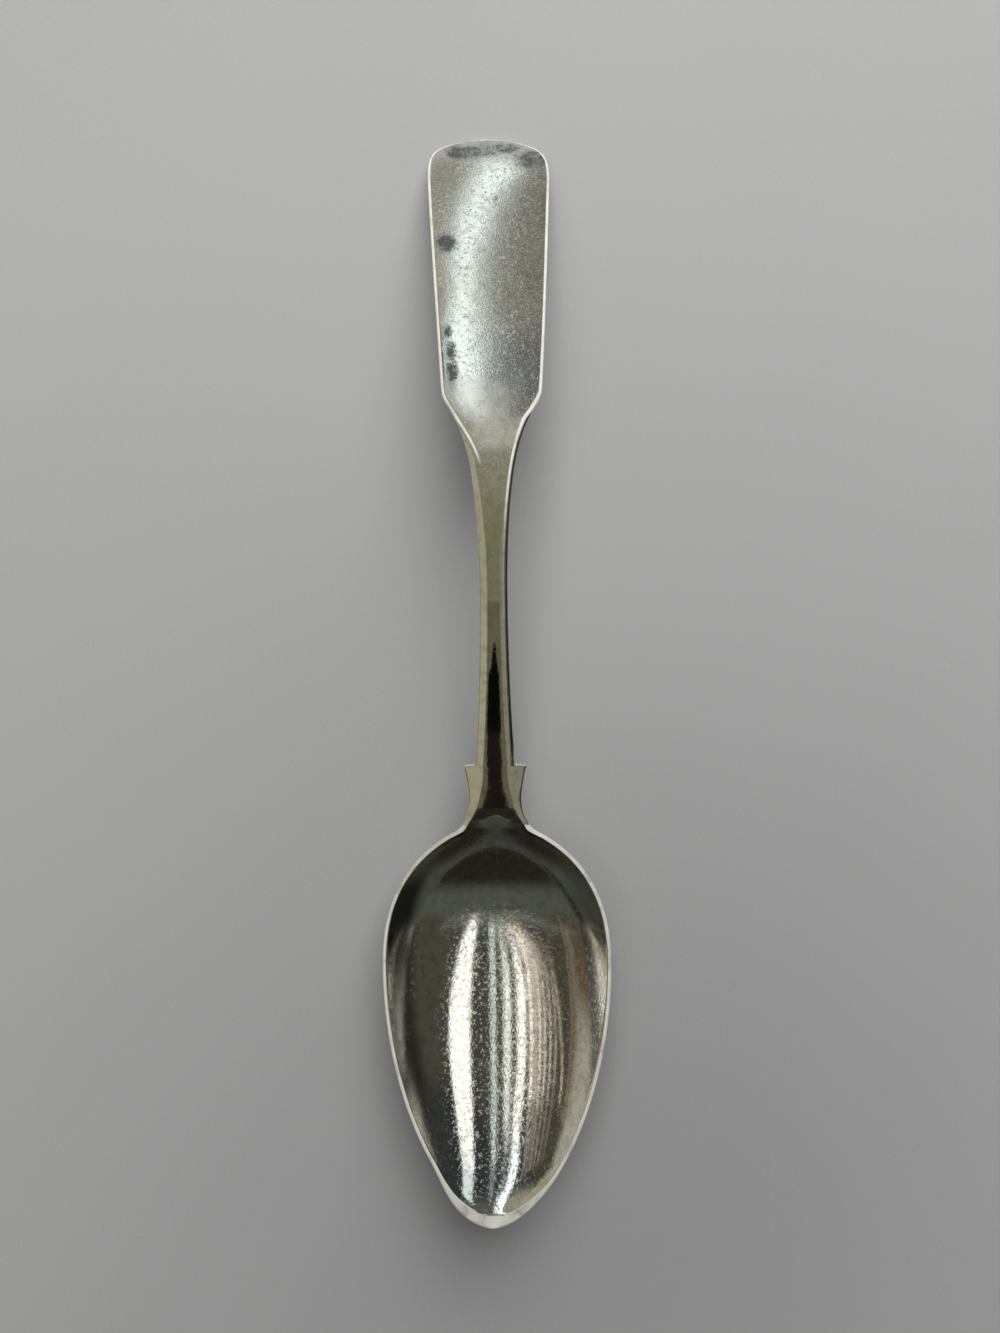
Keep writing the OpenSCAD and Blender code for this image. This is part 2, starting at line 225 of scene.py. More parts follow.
def handle_back(s, x):
    """Depth of the handle's back."""
    joint_wall = rim_t - fall(bowl_l) + seam_gap + drop_edge
    joint_t = hollow(bowl_l) + bowl_sheet + seam_gap + drop_t
    on, up = ramp(s, bowl_l, fins_at), ramp(s, narrow_at, shoulder_at)
    edge = fall(s) + mix(mix(joint_wall, stem_wall, on), plate_wall, up)
    thick = mix(mix(mix(joint_t, neck_t, on), stem_t, ramp(s, fins_at, narrow_at)), plate_t, up)
    power = mix(1, stem_back_power, on - flattening_share * up)
    return edge + np.maximum(thick - edge, least) * fullness(
        np.minimum(np.abs(x) / half_w(s), 1), power, flat_share * (1 - on))


# Places of the outline, for the distance of a point from it, so that edges keep their width round the ends
quarter = math.pi / 2
turn_count, run_count, tip_count, end_count = 700, 4200, 12, 30
line_s = np.concatenate([widest_at * (1 - np.cos(np.linspace(0, quarter, turn_count))),
                         np.linspace(widest_at, dome_at, run_count),
                         dome_at + dome_l * np.sin(np.linspace(0, quarter, turn_count))])
line_x = half_w(line_s)
line_s = np.concatenate([np.zeros(tip_count), line_s, np.full(end_count, end_at)])
line_x = np.concatenate([np.linspace(0, line_x[0], tip_count), line_x, np.linspace(line_x[-1], 0, end_count)])
reach = 1.6


def edge_distance(s, x):
    """For each row of points at a station, how far each lies inside the outline, up to the reach."""
    out = np.full(x.shape, reach)
    for i, si in enumerate(s):
        near = np.abs(line_s - si) < reach
        d2 = (line_s[near][None, :] - si) ** 2 + (line_x[near][None, :] - np.abs(x[i])[:, None]) ** 2
        out[i] = np.minimum(np.sqrt(d2.min(1)), reach)
    return out


def rounding(d, radius):
    """How far a rounded edge has fallen at a distance from the outline."""
    short = np.clip(radius - d, 0, radius)
    return radius - np.sqrt(radius**2 - short**2)


def spaced(n):
    """n shares from 0 to 1, closer together towards both ends."""
    return (1 - np.cos(np.linspace(0, math.pi, n))) / 2


def face_row(s, side, middle):
    """Places across each station: land or bevel, facet or hollow, land or bevel, of so many points each."""
    w, c = half_w(s)[:, None], facet(s)[:, None]
    edge = spaced(side)[None, :-1]
    inner = (2 * spaced(middle) - 1)[None, :] * c
    return np.concatenate([mix(-w, -c, edge), inner, mix(w, c, edge)[:, ::-1]], 1)


def back_row(w, count):
    """Places across the back at each station of half width w."""
    return (2 * spaced(count) - 1)[None, :] * w[:, None]


def face_depth(s, x, d, radius):
    """Depth of the face under its line."""
    s1 = s[:, None]
    w, c = half_w(s1), facet(s1)
    q = np.abs(x) / c
    soft = crease_soft / c
    inside = soft_over(1 - q * q, 2 * soft) * (1 + flat_share * np.minimum(q, 1) ** 2)
    dished = (hollow(s1) - crown(s1)) * inside
    on_end = ramp(s1, narrow_at, shoulder_at)
    across = (np.abs(x) - c) / np.maximum(w - c, least_bevel_w)
    to_edge = 1 - d / mix(bevel_w, edge_w, on_end)
    bevel = fall(s1) * soft_over(mix(across, to_edge, on_end), bevel_soft) - fall(s1) * bevel_rest
    return dished + bevel + rounding(d, radius)


def hand_made(s, x):
    """Small unevenness of a hammered outline: fuller corners at the handle's end and a fuller left lip."""
    s1 = s[:, None]
    dome = np.clip((s1 - dome_at) / dome_l, 0, dome_clip)
    square = np.where(x < 0, left_square, right_square)
    fuller = np.sqrt((1 - dome**square) / (1 - dome**dome_power))
    lip = tip_lean * (1 - ramp(s1, 0, tip_lean_run)) * (1 - x / half_w(s1)) / 2
    return x * fuller + lip + end_lean * ramp(s1, shoulder_at, end_at)


def placed(s, x, depth):
    """Points in metres in the part's frame: square to the face line on the handle, upright on the bowl.
    What would reach under the table is worn off flat."""
    z, slope = face_line(s)
    lean = (np.arctan(slope) * ramp(s, waist_at, fins_at))[:, None]
    y = s[:, None] - spoon_l / 2 + depth * np.sin(lean)
    return np.stack([hand_made(s, x), y, np.maximum(z[:, None] - depth * np.cos(lean), 0)], -1) * MM


walls = 3


def loop(top, bottom):
    """Rows of closed loops: the top from left to right, the right wall, the bottom back, the left wall."""
    t = (np.arange(1, walls + 1) / (walls + 1))[None, :, None]
    right = mix(top[:, -1:, :], bottom[:, -1:, :], t)
    left = mix(bottom[:, :1, :], top[:, :1, :], t)
    return np.concatenate([top, right, bottom[:, ::-1], left], 1)


def added(name, data):
    """A new object in the scene."""
    made = bpy.data.objects.new(name, data)
    bpy.context.scene.collection.objects.link(made)
    return made


# Fields of the finish and of painted shade, one value each at every vertex
fields = ("worn", "satin", "tarnish_and_shade", "bowl_marks", "painted_shade")


def with_fields(points, worn, satin, tarnish_and_shade=0.0, marks=0.0, painted_shade=0.0):
    """Points with their fields beside them."""
    parts = [np.broadcast_to(f, points.shape[:-1])[..., None] for f in (worn, satin, tarnish_and_shade, marks, painted_shade)]
    return np.concatenate([points] + parts, -1)


class Shell:
    """Vertices and faces of one piece. A vertex is three coordinates and then its value of each field."""

    def __init__(self):
        self.rows, self.faces, self.count = [], [], 0

    def add(self, rows, faces):
        rows = rows.reshape(-1, rows.shape[-1])
        self.rows.append(rows)
        self.faces += (faces + self.count).tolist()
        self.count += len(rows)

    def loft(self, rows):
        """A tube through the loops, each row one loop."""
        r, n = rows.shape[:2]
        i, j = np.meshgrid(np.arange(r - 1), np.arange(n), indexing="ij")
        a, b = i * n + j, i * n + (j + 1) % n
        self.add(rows, np.stack([a, a + n, b + n, b], -1).reshape(-1, 4))

    def close(self, row, top_count, flip):
        """A flat end on a loop, of strips from its top to its bottom, with vertices of its own."""
        n = len(row)
        j = np.arange(top_count - 1)
        strips = np.stack([j, j + 1, n - walls - j - 2, n - walls - j - 1], -1)
        start = self.count
        self.add(row, strips[:, ::-1] if flip else strips)
        left = [0, n - walls - 1] + list(range(n - walls, n))
        right = list(range(top_count - 1, top_count + walls + 1))
        for wall, turned in ((left, flip), (right, not flip)):
            ids = [start + k for k in wall]
            self.faces.append(ids[::-1] if turned else ids)

    def mesh(self, name):
        rows = np.concatenate(self.rows)
        mesh = bpy.data.meshes.new(name)
        mesh.from_pydata(rows[:, :3].tolist(), [], self.faces)
        mesh.polygons.foreach_set("use_smooth", np.ones(len(self.faces), bool))
        for k, field in enumerate(fields):
            layer = mesh.attributes.new(field, "FLOAT", "POINT")
            layer.data.foreach_set("value", np.ascontiguousarray(rows[:, 3 + k], np.float32))
        mesh.update()
        return added(name, mesh)


# Tarnished places on the fiddle end, in pixels of the photograph: middle, half sizes, and how dark
tarnish_px = (
    (459, 153, 8, 4, 0.84), (472, 152, 8, 4, 0.74), (486, 150, 9, 4, 0.62), (500, 149, 8, 3, 0.68),
    (511, 149, 5, 3, 0.72), (533, 160, 10, 5, 0.84), (522, 156, 5, 3, 0.55), (446, 243, 5.5, 5.5, 0.95),
    (495, 198, 1.4, 1.6, 0.8), (532, 270, 2, 2, 0.7), (534, 301, 1.5, 2, 0.75), (448, 332, 2.5, 4, 0.8),
    (451, 350, 3, 5, 0.9), (452, 370, 3.5, 7, 0.9), (453, 386, 3, 4, 0.4), (544, 215, 2, 9, 0.45),
    (531, 282, 1.5, 6, 0.4), (441, 300, 3, 12, 0.3), (440, 158, 7, 9, 0.3),
)
tarnish_reach, tarnish_slope = 2.6, 0.6     # in half sizes, and how fast it fades


def to_pixels(points):
    """Places in the 1000 by 1333 photograph of points in metres."""
    x, y, z = (points[..., k] / MM - camera_at[k] for k in range(3))
    c, sn = math.cos(camera_turn), math.sin(camera_turn)
    return photo_w / 2 - (x * c + y * sn) / z * focal_px, photo_h / 2 + (y * c - x * sn) / z * focal_px


def tarnish_at(points):
    u, v = to_pixels(points)
    out = np.zeros(u.shape)
    for cu, cv, ru, rv, dark in tarnish_px:
        far = np.hypot((u - cu) / ru, (v - cv) / rv)
        faded = np.clip(1 + tarnish_slope - tarnish_slope * far, 0, 1)
        out = np.maximum(out, dark * faded * (far < tarnish_reach))
    return out


# How many stations each stretch has
bowl_tip_count, bowl_heel_count, drop_count = 210, 190, 45
neck_count, step_count, root_count, stem_count, side_count, dome_count = 95, 17, 90, 160, 130, 110
bowl_s = np.concatenate([widest_at * (1 - np.cos(np.linspace(0, quarter, bowl_tip_count)[:-1])),
                         widest_at + widest_back * np.sin(np.linspace(0, quarter, bowl_heel_count))])
step_end, corner_end = fins_at + 2 * fin_step, shoulder_at + corner_run
handle_s = np.concatenate([np.linspace(bowl_l + seam_gap, fins_at - fin_step, neck_count)[:-1],
                           np.linspace(fins_at - fin_step, step_end, step_count)[:-1],
                           np.linspace(step_end, narrow_at, root_count)[:-1],
                           np.linspace(narrow_at, corner_end, stem_count)[:-1],
                           np.linspace(corner_end, dome_at, side_count)[:-1],
                           dome_at + dome_l * np.sin(np.linspace(0, quarter, dome_count))])
drop_s = bowl_l - drop_l * np.sin(np.linspace(quarter, 0, drop_count))

# The bowl
bowl_side, bowl_middle = 12, 97
bowl_count = 2 * (bowl_side - 1) + bowl_middle
bowl_x = face_row(bowl_s, bowl_side, bowl_middle)
bowl_d = edge_distance(bowl_s, bowl_x)
bowl_top = placed(bowl_s, bowl_x, face_depth(bowl_s, bowl_x, bowl_d, rim_round))
bowl_under_x = back_row(half_w(bowl_s), bowl_count)
bowl_under_d = edge_distance(bowl_s, bowl_under_x)
bowl_under = placed(bowl_s, bowl_under_x,
                    bowl_back(bowl_s[:, None], bowl_under_x) - rounding(bowl_under_d, rim_round))
across = np.abs(bowl_x) / facet(bowl_s)[:, None]
# The worn bright rim is all of the land round the bowl and the flat at its tip. Towards the neck its wear
# share is lowered, more on the left, as painted shade where the rim mirrors a darker room
land_across, rim_shade_run, rim_shade_left, rim_shade_right, tip_wear_run = (0.995, 1.015), (37, 46), 0.5, 0.15, 0.3
on_land = np.maximum(ramp(across, *land_across), 1 - ramp(bowl_s, tip_land - tip_wear_run, tip_land)[:, None])
on_land = on_land * (1 - ramp(bowl_s, *rim_shade_run)[:, None] * np.where(bowl_x < 0, rim_shade_left, rim_shade_right))
# Painted shade inside the rim: a painted dark reflection, deepest on the left towards the heel, with a paler
# strip beside the rim
painted_shade_across = (0.72, 0.86)
left_dark, left_comes, left_deeper, left_deepens, left_goes = 0.72, (12, 18), 0.2, (28, 34), (42, 47)
right_dark, right_comes, right_goes = 0.3, (30, 36), (43, 48)
paler_share, paler_across, paler_goes = 0.4, (0.89, 0.94), (27, 33)
left_painted_shade = left_dark * ramp(bowl_s, *left_comes) + left_deeper * ramp(bowl_s, *left_deepens)
left_painted_shade = left_painted_shade * (1 - ramp(bowl_s, *left_goes))
right_painted_shade = right_dark * ramp(bowl_s, *right_comes) * (1 - ramp(bowl_s, *right_goes))
paler = paler_share * ramp(across, *paler_across) * (1 - ramp(bowl_s, *paler_goes))[:, None]
painted_shade = np.where(bowl_x < 0, left_painted_shade[:, None] * (1 - paler), right_painted_shade[:, None])
painted_shade = ramp(across, *painted_shade_across) * painted_shade * (1 - on_land)
# a share of the painted shade also darkens the bowl through the tarnish field
painted_shade_tarnish, back_satin, back_wear = 0.25, 0.15, (0.5, 0.0)
bowl_rows = loop(with_fields(bowl_top, on_land, 0.0, painted_shade_tarnish * painted_shade, 1 - on_land, painted_shade),
                 with_fields(bowl_under, ramp(bowl_under_d, *back_wear), back_satin))
bowl_shell = Shell()
bowl_shell.loft(bowl_rows)
bowl_shell.close(bowl_rows[0], bowl_count, flip=False)
bowl_shell.close(bowl_rows[-1], bowl_count, flip=True)
bowl = bowl_shell.mesh("spoon_bowl")

# The handle
handle_side, handle_middle = 12, 51
handle_count = 2 * (handle_side - 1) + handle_middle
handle_x = face_row(handle_s, handle_side, handle_middle)
handle_d = edge_distance(handle_s, handle_x)
handle_top = placed(handle_s, handle_x, face_depth(handle_s, handle_x, handle_d, handle_round))
handle_under_x = back_row(half_w(handle_s), handle_count)
handle_under_d = edge_distance(handle_s, handle_under_x)
handle_under = placed(handle_s, handle_under_x,
                      handle_back(handle_s[:, None], handle_under_x) - rounding(handle_under_d, handle_round))


def drop_half_w(s):
    x = np.clip((bowl_l - s) / drop_l, 0, 1)
    return np.maximum(half_w(bowl_l) * np.sqrt(1 - x**heel_power), tip_flat / 2)


def lap_rows(s, top, bottom):
    """Loops of a strip under the bowl's back, of given clearances from it above and below."""
    w = drop_half_w(s)[:, None]
    u = (2 * spaced(handle_count) - 1)[None, :]
    x = u * w
    back = bowl_back(s[:, None], x)
    return loop(placed(s, x, back + top), placed(s, x, back + bottom(s[:, None], u)))


def drop_bottom(s, u):
    """Clearance of the drop's lower side, which thins out towards its tip and has a rounded edge."""
    thick = drop_edge + (drop_t - drop_edge) * fullness(u) * (1 - (bowl_l - s) / drop_l)
    from_tip = (s - (bowl_l - drop_l)) * drop_round_share + drop_tip_edge
    edge = np.minimum((1 - np.abs(u)) * drop_half_w(s), from_tip)
    return seam_gap + thick - rounding(np.maximum(edge, 0), drop_edge * drop_round_share)


# The bright line of the edge leaves the outline under the shoulders, and outside it on the right the stem is
# painted dark: painted shade of the stem's dark side
satin_from, satin_full = narrow_at + 4, shoulder_at - 8
left_in, left_in_run, left_ends = 1.35, (0.5, 9), (6, 9)
right_in, right_in_run, right_ends, right_end_share = 0.5, (0.5, 3), (10, 20), 0.8
line_wide, line_narrow, line_narrows, line_soft = 0.34, 0.15, (0.5, 4), 0.07
outside_dark, outside_soft, outside_comes = 0.8, 0.15, (fins_at + 1, fins_at + 3)
on_fiddle = ramp(handle_s, satin_from, satin_full)[:, None]
below = (shoulder_at - handle_s)[:, None]
on_left = handle_x < 0
line_in = np.where(on_left, left_in * ramp(below, *left_in_run), right_in * ramp(below, *right_in_run))
line_ends = np.where(on_left, 1 - ramp(below, *left_ends), 1 - right_end_share * ramp(below, *right_ends))
line_ends = line_ends * ramp(handle_s, fins_at, narrow_at)[:, None]
line_half = mix(line_wide, line_narrow, ramp(below, *line_narrows))
on_edge = ramp(np.abs(handle_d - line_in), line_half + line_soft, line_half - line_soft) * line_ends
# painted shade: the stem darkened on its right, outside the bright line
outside_shade = np.where(on_left, 0.0, outside_dark) * ramp(handle_d, line_in, line_in - outside_soft)
outside_shade = outside_shade * ramp(handle_s, *outside_comes)[:, None]
under_wear, under_wear_share, under_satin, drop_worn, drop_satin = (0.4, 0.1), 0.7, 0.5, 0.1, 0.2
handle_rows = loop(
    with_fields(handle_top, on_edge, on_fiddle, tarnish_at(handle_top) * (1 - on_edge), 0.0, outside_shade),
    with_fields(handle_under, ramp(handle_under_d, *under_wear) * under_wear_share, under_satin * on_fiddle))
drop_rows = with_fields(lap_rows(drop_s, seam_gap, drop_bottom), drop_worn, drop_satin)
handle_shell = Shell()
handle_shell.loft(drop_rows)
handle_shell.close(drop_rows[0], handle_count, flip=False)
handle_shell.loft(handle_rows)
handle_shell.close(handle_rows[0], handle_count, flip=False)
handle_shell.close(handle_rows[-1], handle_count, flip=True)
handle = handle_shell.mesh("spoon_handle")

# The solder: the plate in the butt joint and the film under the drop
plate_count, film_skip, plate_satin, film_satin = 4, 2, 0.1, 0.3
plate_s = np.linspace(bowl_l, bowl_l + seam_gap, plate_count)
plate_x = face_row(plate_s, bowl_side, bowl_middle)
plate_d = edge_distance(plate_s, plate_x)
plate_top = placed(plate_s, plate_x, face_depth(plate_s, plate_x, plate_d, rim_round))
plate_under_x = back_row(half_w(plate_s), bowl_count)
plate_under = placed(plate_s, plate_under_x, bowl_back(plate_s[:, None], plate_under_x) + seam_gap - seam_fit)
plate_rows = with_fields(loop(plate_top, plate_under), 0.0, plate_satin)
film_rows = lap_rows(drop_s[film_skip:], seam_fit, lambda s, u: seam_gap - seam_fit)
film_rows = with_fields(film_rows, 0.0, film_satin)
seam_shell = Shell()
seam_shell.loft(plate_rows)
seam_shell.loft(film_rows)
seam_shell.close(film_rows[0], handle_count, flip=False)
seam = seam_shell.mesh("solder_seam_film")

pieces = {"bowl": bowl, "handle": handle, "solder_seam": seam}


class Tree:
    """Short ways to add and link the nodes of one material or world."""

    def __init__(self, owner):
        owner.use_nodes = True
        self.nodes, self.links = owner.node_tree.nodes, owner.node_tree.links

    def node(self, kind, **settings):
        made = self.nodes.new(kind)
        for key, value in settings.items():
            setattr(made, key, value)
        return made

    def feed(self, socket, value):
        if isinstance(value, bpy.types.NodeSocket):
            self.links.new(value, socket)
        else:
            socket.default_value = value

    def math(self, operation, *values, clamp=False):
        made = self.node("ShaderNodeMath", operation=operation, use_clamp=clamp)
        for socket, value in zip(made.inputs, values):
            self.feed(socket, value)
        return made.outputs[0]

    def total(self, start, *terms):
        """A start plus each field times its amount."""
        for field, amount in terms:
            start = self.math("MULTIPLY_ADD", field, amount, start)
        return start

    def step(self, value, low, high, to_low=0.0, to_high=1.0):
        """Smooth step of a value between two levels."""
        made = self.node("ShaderNodeMapRange", interpolation_type="SMOOTHSTEP")
        for socket, v in zip(made.inputs, (value, low, high, to_low, to_high)):
            self.feed(socket, v)
        return made.outputs[0]

    def blend(self, share, a, b):
        """Colour a towards colour b by a share."""
        made = self.node("ShaderNodeMix", data_type="RGBA", blend_type="MIX")
        colour_a, colour_b, result = made.inputs[6], made.inputs[7], made.outputs[2]
        for socket, value in ((made.inputs["Factor"], share), (colour_a, a), (colour_b, b)):
            self.feed(socket, value)
        return result

    def layers(self, colour, *coats):
        """A colour under coats, each of a share and a colour."""
        for share, coat in coats:
            colour = self.blend(share, colour, coat)
        return colour

    def place(self, turn, stretch):
        """Places on the object in millimetres, turned and stretched."""
        where = self.node("ShaderNodeTexCoord").outputs["Object"]
        mapped = self.node("ShaderNodeMapping", vector_type="TEXTURE")
        mapped.inputs["Rotation"].default_value = (0, 0, math.radians(turn))
        mapped.inputs["Scale"].default_value = [k * MM for k in stretch]
        self.links.new(where, mapped.inputs["Vector"])
        return mapped.outputs[0]

    def noise(self, size, offset, detail=2, rough=0.5, turn=0, stretch=(1, 1, 1)):
        """Noise whose blotches are about the given size in millimetres."""
        made = self.node("ShaderNodeTexNoise", noise_dimensions="4D")
        self.links.new(self.place(turn, stretch), made.inputs["Vector"])
        made.inputs["W"].default_value = offset
        made.inputs["Scale"].default_value = 1 / size
        made.inputs["Detail"].default_value = detail
        made.inputs["Roughness"].default_value = rough
        return made.outputs["Fac"]

    def field(self, name):
        return self.node("ShaderNodeAttribute", attribute_name=name).outputs["Fac"]

    def bump(self, height, depth):
        """Bump of a height field whose full range is the given depth in millimetres."""
        made = self.node("ShaderNodeBump")
        made.inputs["Strength"].default_value = 1.0
        made.inputs["Distance"].default_value = depth * MM
        self.links.new(height, made.inputs["Height"])
        return made.outputs[0]


# Colours of the silver, of what lies on it, of the painted shade, and of the solder's seam, which has the
# same finish
silver_pale, silver_warm, bright_worn = (0.86, 0.85, 0.80, 1), (0.80, 0.785, 0.71, 1), (0.92, 0.90, 0.80, 1)
patina_colour, dust_colour = (0.50, 0.47, 0.39, 1), (0.42, 0.40, 0.34, 1)
# the near-black is painted shade, laid inside the bowl's rim and on the stem's right side
haze_colour, painted_shade_colour = (0.34, 0.37, 0.38, 1), (0.05, 0.052, 0.046, 1)
spot_colour = (0.055, 0.058, 0.056, 1)
silver_bump = 0.009


def aged_silver():
    """Silver with worn bright edges, a satin fiddle end, tarnish, scratches and small dents, and near-black
    painted shade from its fields.
    """
    made = bpy.data.materials.new("aged_silver")
    t = Tree(made)
    bsdf = t.nodes["Principled BSDF"]
    worn, satin, tarnish_and_shade, in_bowl, painted_shade = (t.field(f) for f in fields)
    patchy = t.step(t.noise(size=1.6, offset=12, detail=3, rough=0.6), 0.3, 0.55, to_low=0.62)
    worn = t.math("MULTIPLY", worn, patchy)

    cloud = t.noise(size=7.0, offset=1, detail=4)
    mottle = t.noise(size=1.1, offset=2, detail=3, rough=0.6)
    grain = t.noise(size=0.3, offset=3, rough=0.6)
    fine = t.noise(size=0.16, offset=9, detail=1)
    rubbed = t.noise(size=0.3, offset=4, stretch=(1, 10, 1))
    scratch_a = t.noise(size=0.16, offset=5, detail=1, turn=12, stretch=(1, 26, 1))
    scratch_b = t.noise(size=0.16, offset=6, detail=1, turn=-38, stretch=(1, 20, 1))
    lines = t.math("MAXIMUM", t.step(scratch_a, 0.70, 0.78), t.step(scratch_b, 0.71, 0.79))
    # fine grain and pits are strongest in the bowl and on the satin end
    speckle = t.total(0.25, (in_bowl, 0.55), (satin, 0.45))
    pits = t.step(t.noise(size=0.42, offset=11, detail=3, rough=0.75), 0.55, 0.66)
    pitted = t.math("MULTIPLY", pits, speckle)
    frost = t.math("MULTIPLY", satin, t.step(grain, 0.42, 0.62))

    # tarnish grows in from its field, with a ragged granular edge; in the bowl that field holds a share of
    # the painted shade
    ragged = t.total(tarnish_and_shade, (t.math("SUBTRACT", mottle, 0.5), 1.1), (t.math("SUBTRACT", grain, 0.5), 1.5))
    ragged = t.math("MULTIPLY", t.step(tarnish_and_shade, 0.02, 0.2), ragged)
    dark = t.step(ragged, 0.35, 0.95, to_high=0.92)
    haze = t.step(tarnish_and_shade, 0.05, 0.7, to_high=0.5)
    patina = t.step(mottle, 0.42, 0.7, to_high=0.45)
    dusty = t.math("MULTIPLY", satin, t.step(fine, 0.4, 0.62, to_high=0.25))

    clean = t.blend(t.step(cloud, 0.35, 0.65), silver_pale, silver_warm)
    # the painted shade goes on as a near-black coat; on the bowl's rim, painted shade also lowers the wear
    # share
    colour = t.layers(clean, (patina, patina_colour), (dusty, dust_colour), (haze, haze_colour),
                      (painted_shade, painted_shade_colour), (dark, spot_colour), (worn, bright_worn))
    t.feed(bsdf.inputs["Base Color"], colour)
    # worn edges, frosted satin and tarnish scatter light as well as mirroring it
    metal = t.total(1.0, (worn, -0.8), (satin, -0.08), (frost, -0.08))
    t.feed(bsdf.inputs["Metallic"], t.math("MULTIPLY_ADD", dark, -0.5, metal, clamp=True))
    t.feed(bsdf.inputs["Roughness"], t.total(
        0.045, (satin, 0.095), (t.step(mottle, 0.3, 0.8), 0.03), (lines, 0.06), (pitted, 0.22), (worn, 0.35),
        (dark, 0.3)))
    height = t.total(t.math("MULTIPLY", grain, speckle), (t.math("MULTIPLY", fine, speckle), 0.2),
                     (pitted, -0.6), (rubbed, 0.2), (mottle, 0.4), (lines, -0.15), (dark, -0.15))
    t.feed(bsdf.inputs["Normal"], t.bump(height, silver_bump))
    return made


silver = aged_silver()
for node_name, piece in pieces.items():
    piece.data.materials.append(silver)
    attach(piece, "root")
    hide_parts(node_name)


def plain_mesh(name, points, faces):
    mesh = bpy.data.meshes.new(name)
    mesh.from_pydata([tuple(p) for p in points], [], faces)
    return mesh


def sheet(name, low_x, high_x, low_y, high_y, z):
    """A level rectangle, in metres."""
    corners = ((low_x, low_y, z), (high_x, low_y, z), (high_x, high_y, z), (low_x, high_y, z))
    return added(name, plain_mesh(name, corners, [(0, 1, 2, 3)]))


# The floor, a grey paper
half_floor = 0.6
paper_grey, paper_pale = (0.395, 0.402, 0.40, 1), (0.41, 0.417, 0.415, 1)
fleck_grey = (0.425, 0.43, 0.425, 1)
paper_rough, paper_bump = 0.9, 0.03


def grey_paper():
    made = bpy.data.materials.new("grey_paper")
    t = Tree(made)
    bsdf = t.nodes["Principled BSDF"]
    flecks = t.noise(size=0.5, offset=7, detail=4, rough=0.6)
    clouds = t.noise(size=40.0, offset=8)
    clouded = t.blend(t.step(clouds, 0.3, 0.7), paper_grey, paper_pale)
    t.feed(bsdf.inputs["Base Color"], t.blend(t.step(flecks, 0.2, 0.8), clouded, fleck_grey))
    bsdf.inputs["Roughness"].default_value = paper_rough
    t.feed(bsdf.inputs["Normal"], t.bump(flecks, paper_bump))
    return made


floor = sheet("paper_floor", -half_floor, half_floor, -half_floor, half_floor, 0)
floor.data.materials.append(grey_paper())


def mirrored(name, points, faces):
    """A glowing surface that only the silver mirrors. Returns its material, node tree and emission."""
    piece = added(name, plain_mesh(name, points, faces))
    glow = bpy.data.materials.new(name)
    tree = Tree(glow)
    tree.nodes.remove(tree.nodes["Principled BSDF"])
    emission = tree.node("ShaderNodeEmission")
    tree.links.new(emission.outputs[0], tree.nodes["Material Output"].inputs["Surface"])
    piece.data.materials.append(glow)
    piece.visible_camera = piece.visible_shadow = piece.visible_diffuse = False
    return glow, tree, emission


def reflector(name, points, strength, colour):
    """A strip, of points in pairs along its two edges, that only the silver mirrors."""
    faces = [(i, i + 1, i + 3, i + 2) for i in range(0, len(points) - 2, 2)]
    emission = mirrored(name, points, faces)[2]
    emission.inputs["Color"].default_value = (*colour, 1)
    emission.inputs["Strength"].default_value = strength


# Far cards stand on a sphere round the bowl. A place on it is given by its tilts to the right and towards the
# handle, in degrees from straight up.
card_centre = np.array([0.0, -0.045, 0.004])
card_radius = 0.45
cool, white, warm, tan = (0.84, 0.97, 1.0), (1.0, 1.0, 0.97), (1.0, 0.90, 0.80), (1.0, 0.84, 0.68)


def on_sphere(side, up):
    d = np.array([math.tan(math.radians(side)), math.tan(math.radians(up)), 1.0])
    return card_centre + card_radius * d / np.linalg.norm(d)


def slat(name, rows, strength, colour):
    """Each row is a tilt towards the handle, and the tilts to the right of the slat's two edges there."""
    reflector(name, [on_sphere(side, up) for up, a, b in rows for side in (a, b)], strength, colour)


def thin_slat(name, rows, width, strength, colour):
    """Each row is a tilt towards the handle, and the tilt to the right of the slat's middle."""
    slat(name, [(up, mid - width / 2, mid + width / 2) for up, mid in rows], strength, colour)


def shared_rows(middle, shares):
    """Rows of a thin slat whose middle goes out by shares of its full tilt."""
    return [(up, middle * share) for up, share in shares]


# A blind of slats over the spoon, towards its handle, and at the far left its tan end
tan_shares = ((-30.0, 0.86), (-14.0, 0.94), (0.0, 1.0), (16.0, 1.02), (34.0, 1.04))
for k, (middle, width) in enumerate(((-63.5, 1.4), (-67.5, 0.9), (-70.5, 1.8), (-75.0, 1.1))):
    thin_slat("slat_tan_%d" % (k + 1), shared_rows(middle, tan_shares), width, 0.3, tan)
slat("slat_main", [(-12.2, 13.0, 15.0), (-8.5, 12.4, 22.5), (-2.7, 14.6, 28.0), (2.7, 15.7, 32.8),
                   (8.3, 16.2, 34.6), (14.0, 16.7, 35.2), (20.2, 17.2, 34.6), (25.0, 18.8, 34.8),
                   (28.0, 20.6, 36.0)], 1.35, white)
slat("slat_main_end", [(28.0, 20.6, 36.0), (31.0, 22.5, 38.2), (35.5, 27.0, 42.0), (46.0, 36.0, 52.0)],
     0.9, cool)
thin_slat("slat_thin", [(-10.0, 2.7), (-2.6, 2.4), (13.5, 2.0), (28.0, 2.9)], 2.1, 1.2, cool)
slat("slat_left_1", [(-10.0, -1.5, -0.6), (-2.6, -6.0, -3.4), (4.4, -7.6, -3.8), (13.5, -7.4, -3.6),
                     (25.0, -6.4, -4.2)], 1.2, white)
slat("slat_left_2", [(-9.8, -3.5, -2.7), (-4.8, -12.2, -9.2), (1.5, -17.0, -11.0), (13.5, -17.6, -11.8),
                     (21.6, -15.4, -9.8), (25.5, -15.2, -9.6)], 1.4, white)
slat("slat_thin_end", [(28.0, 1.8, 4.0), (38.0, 2.7, 4.5)], 0.4, cool)
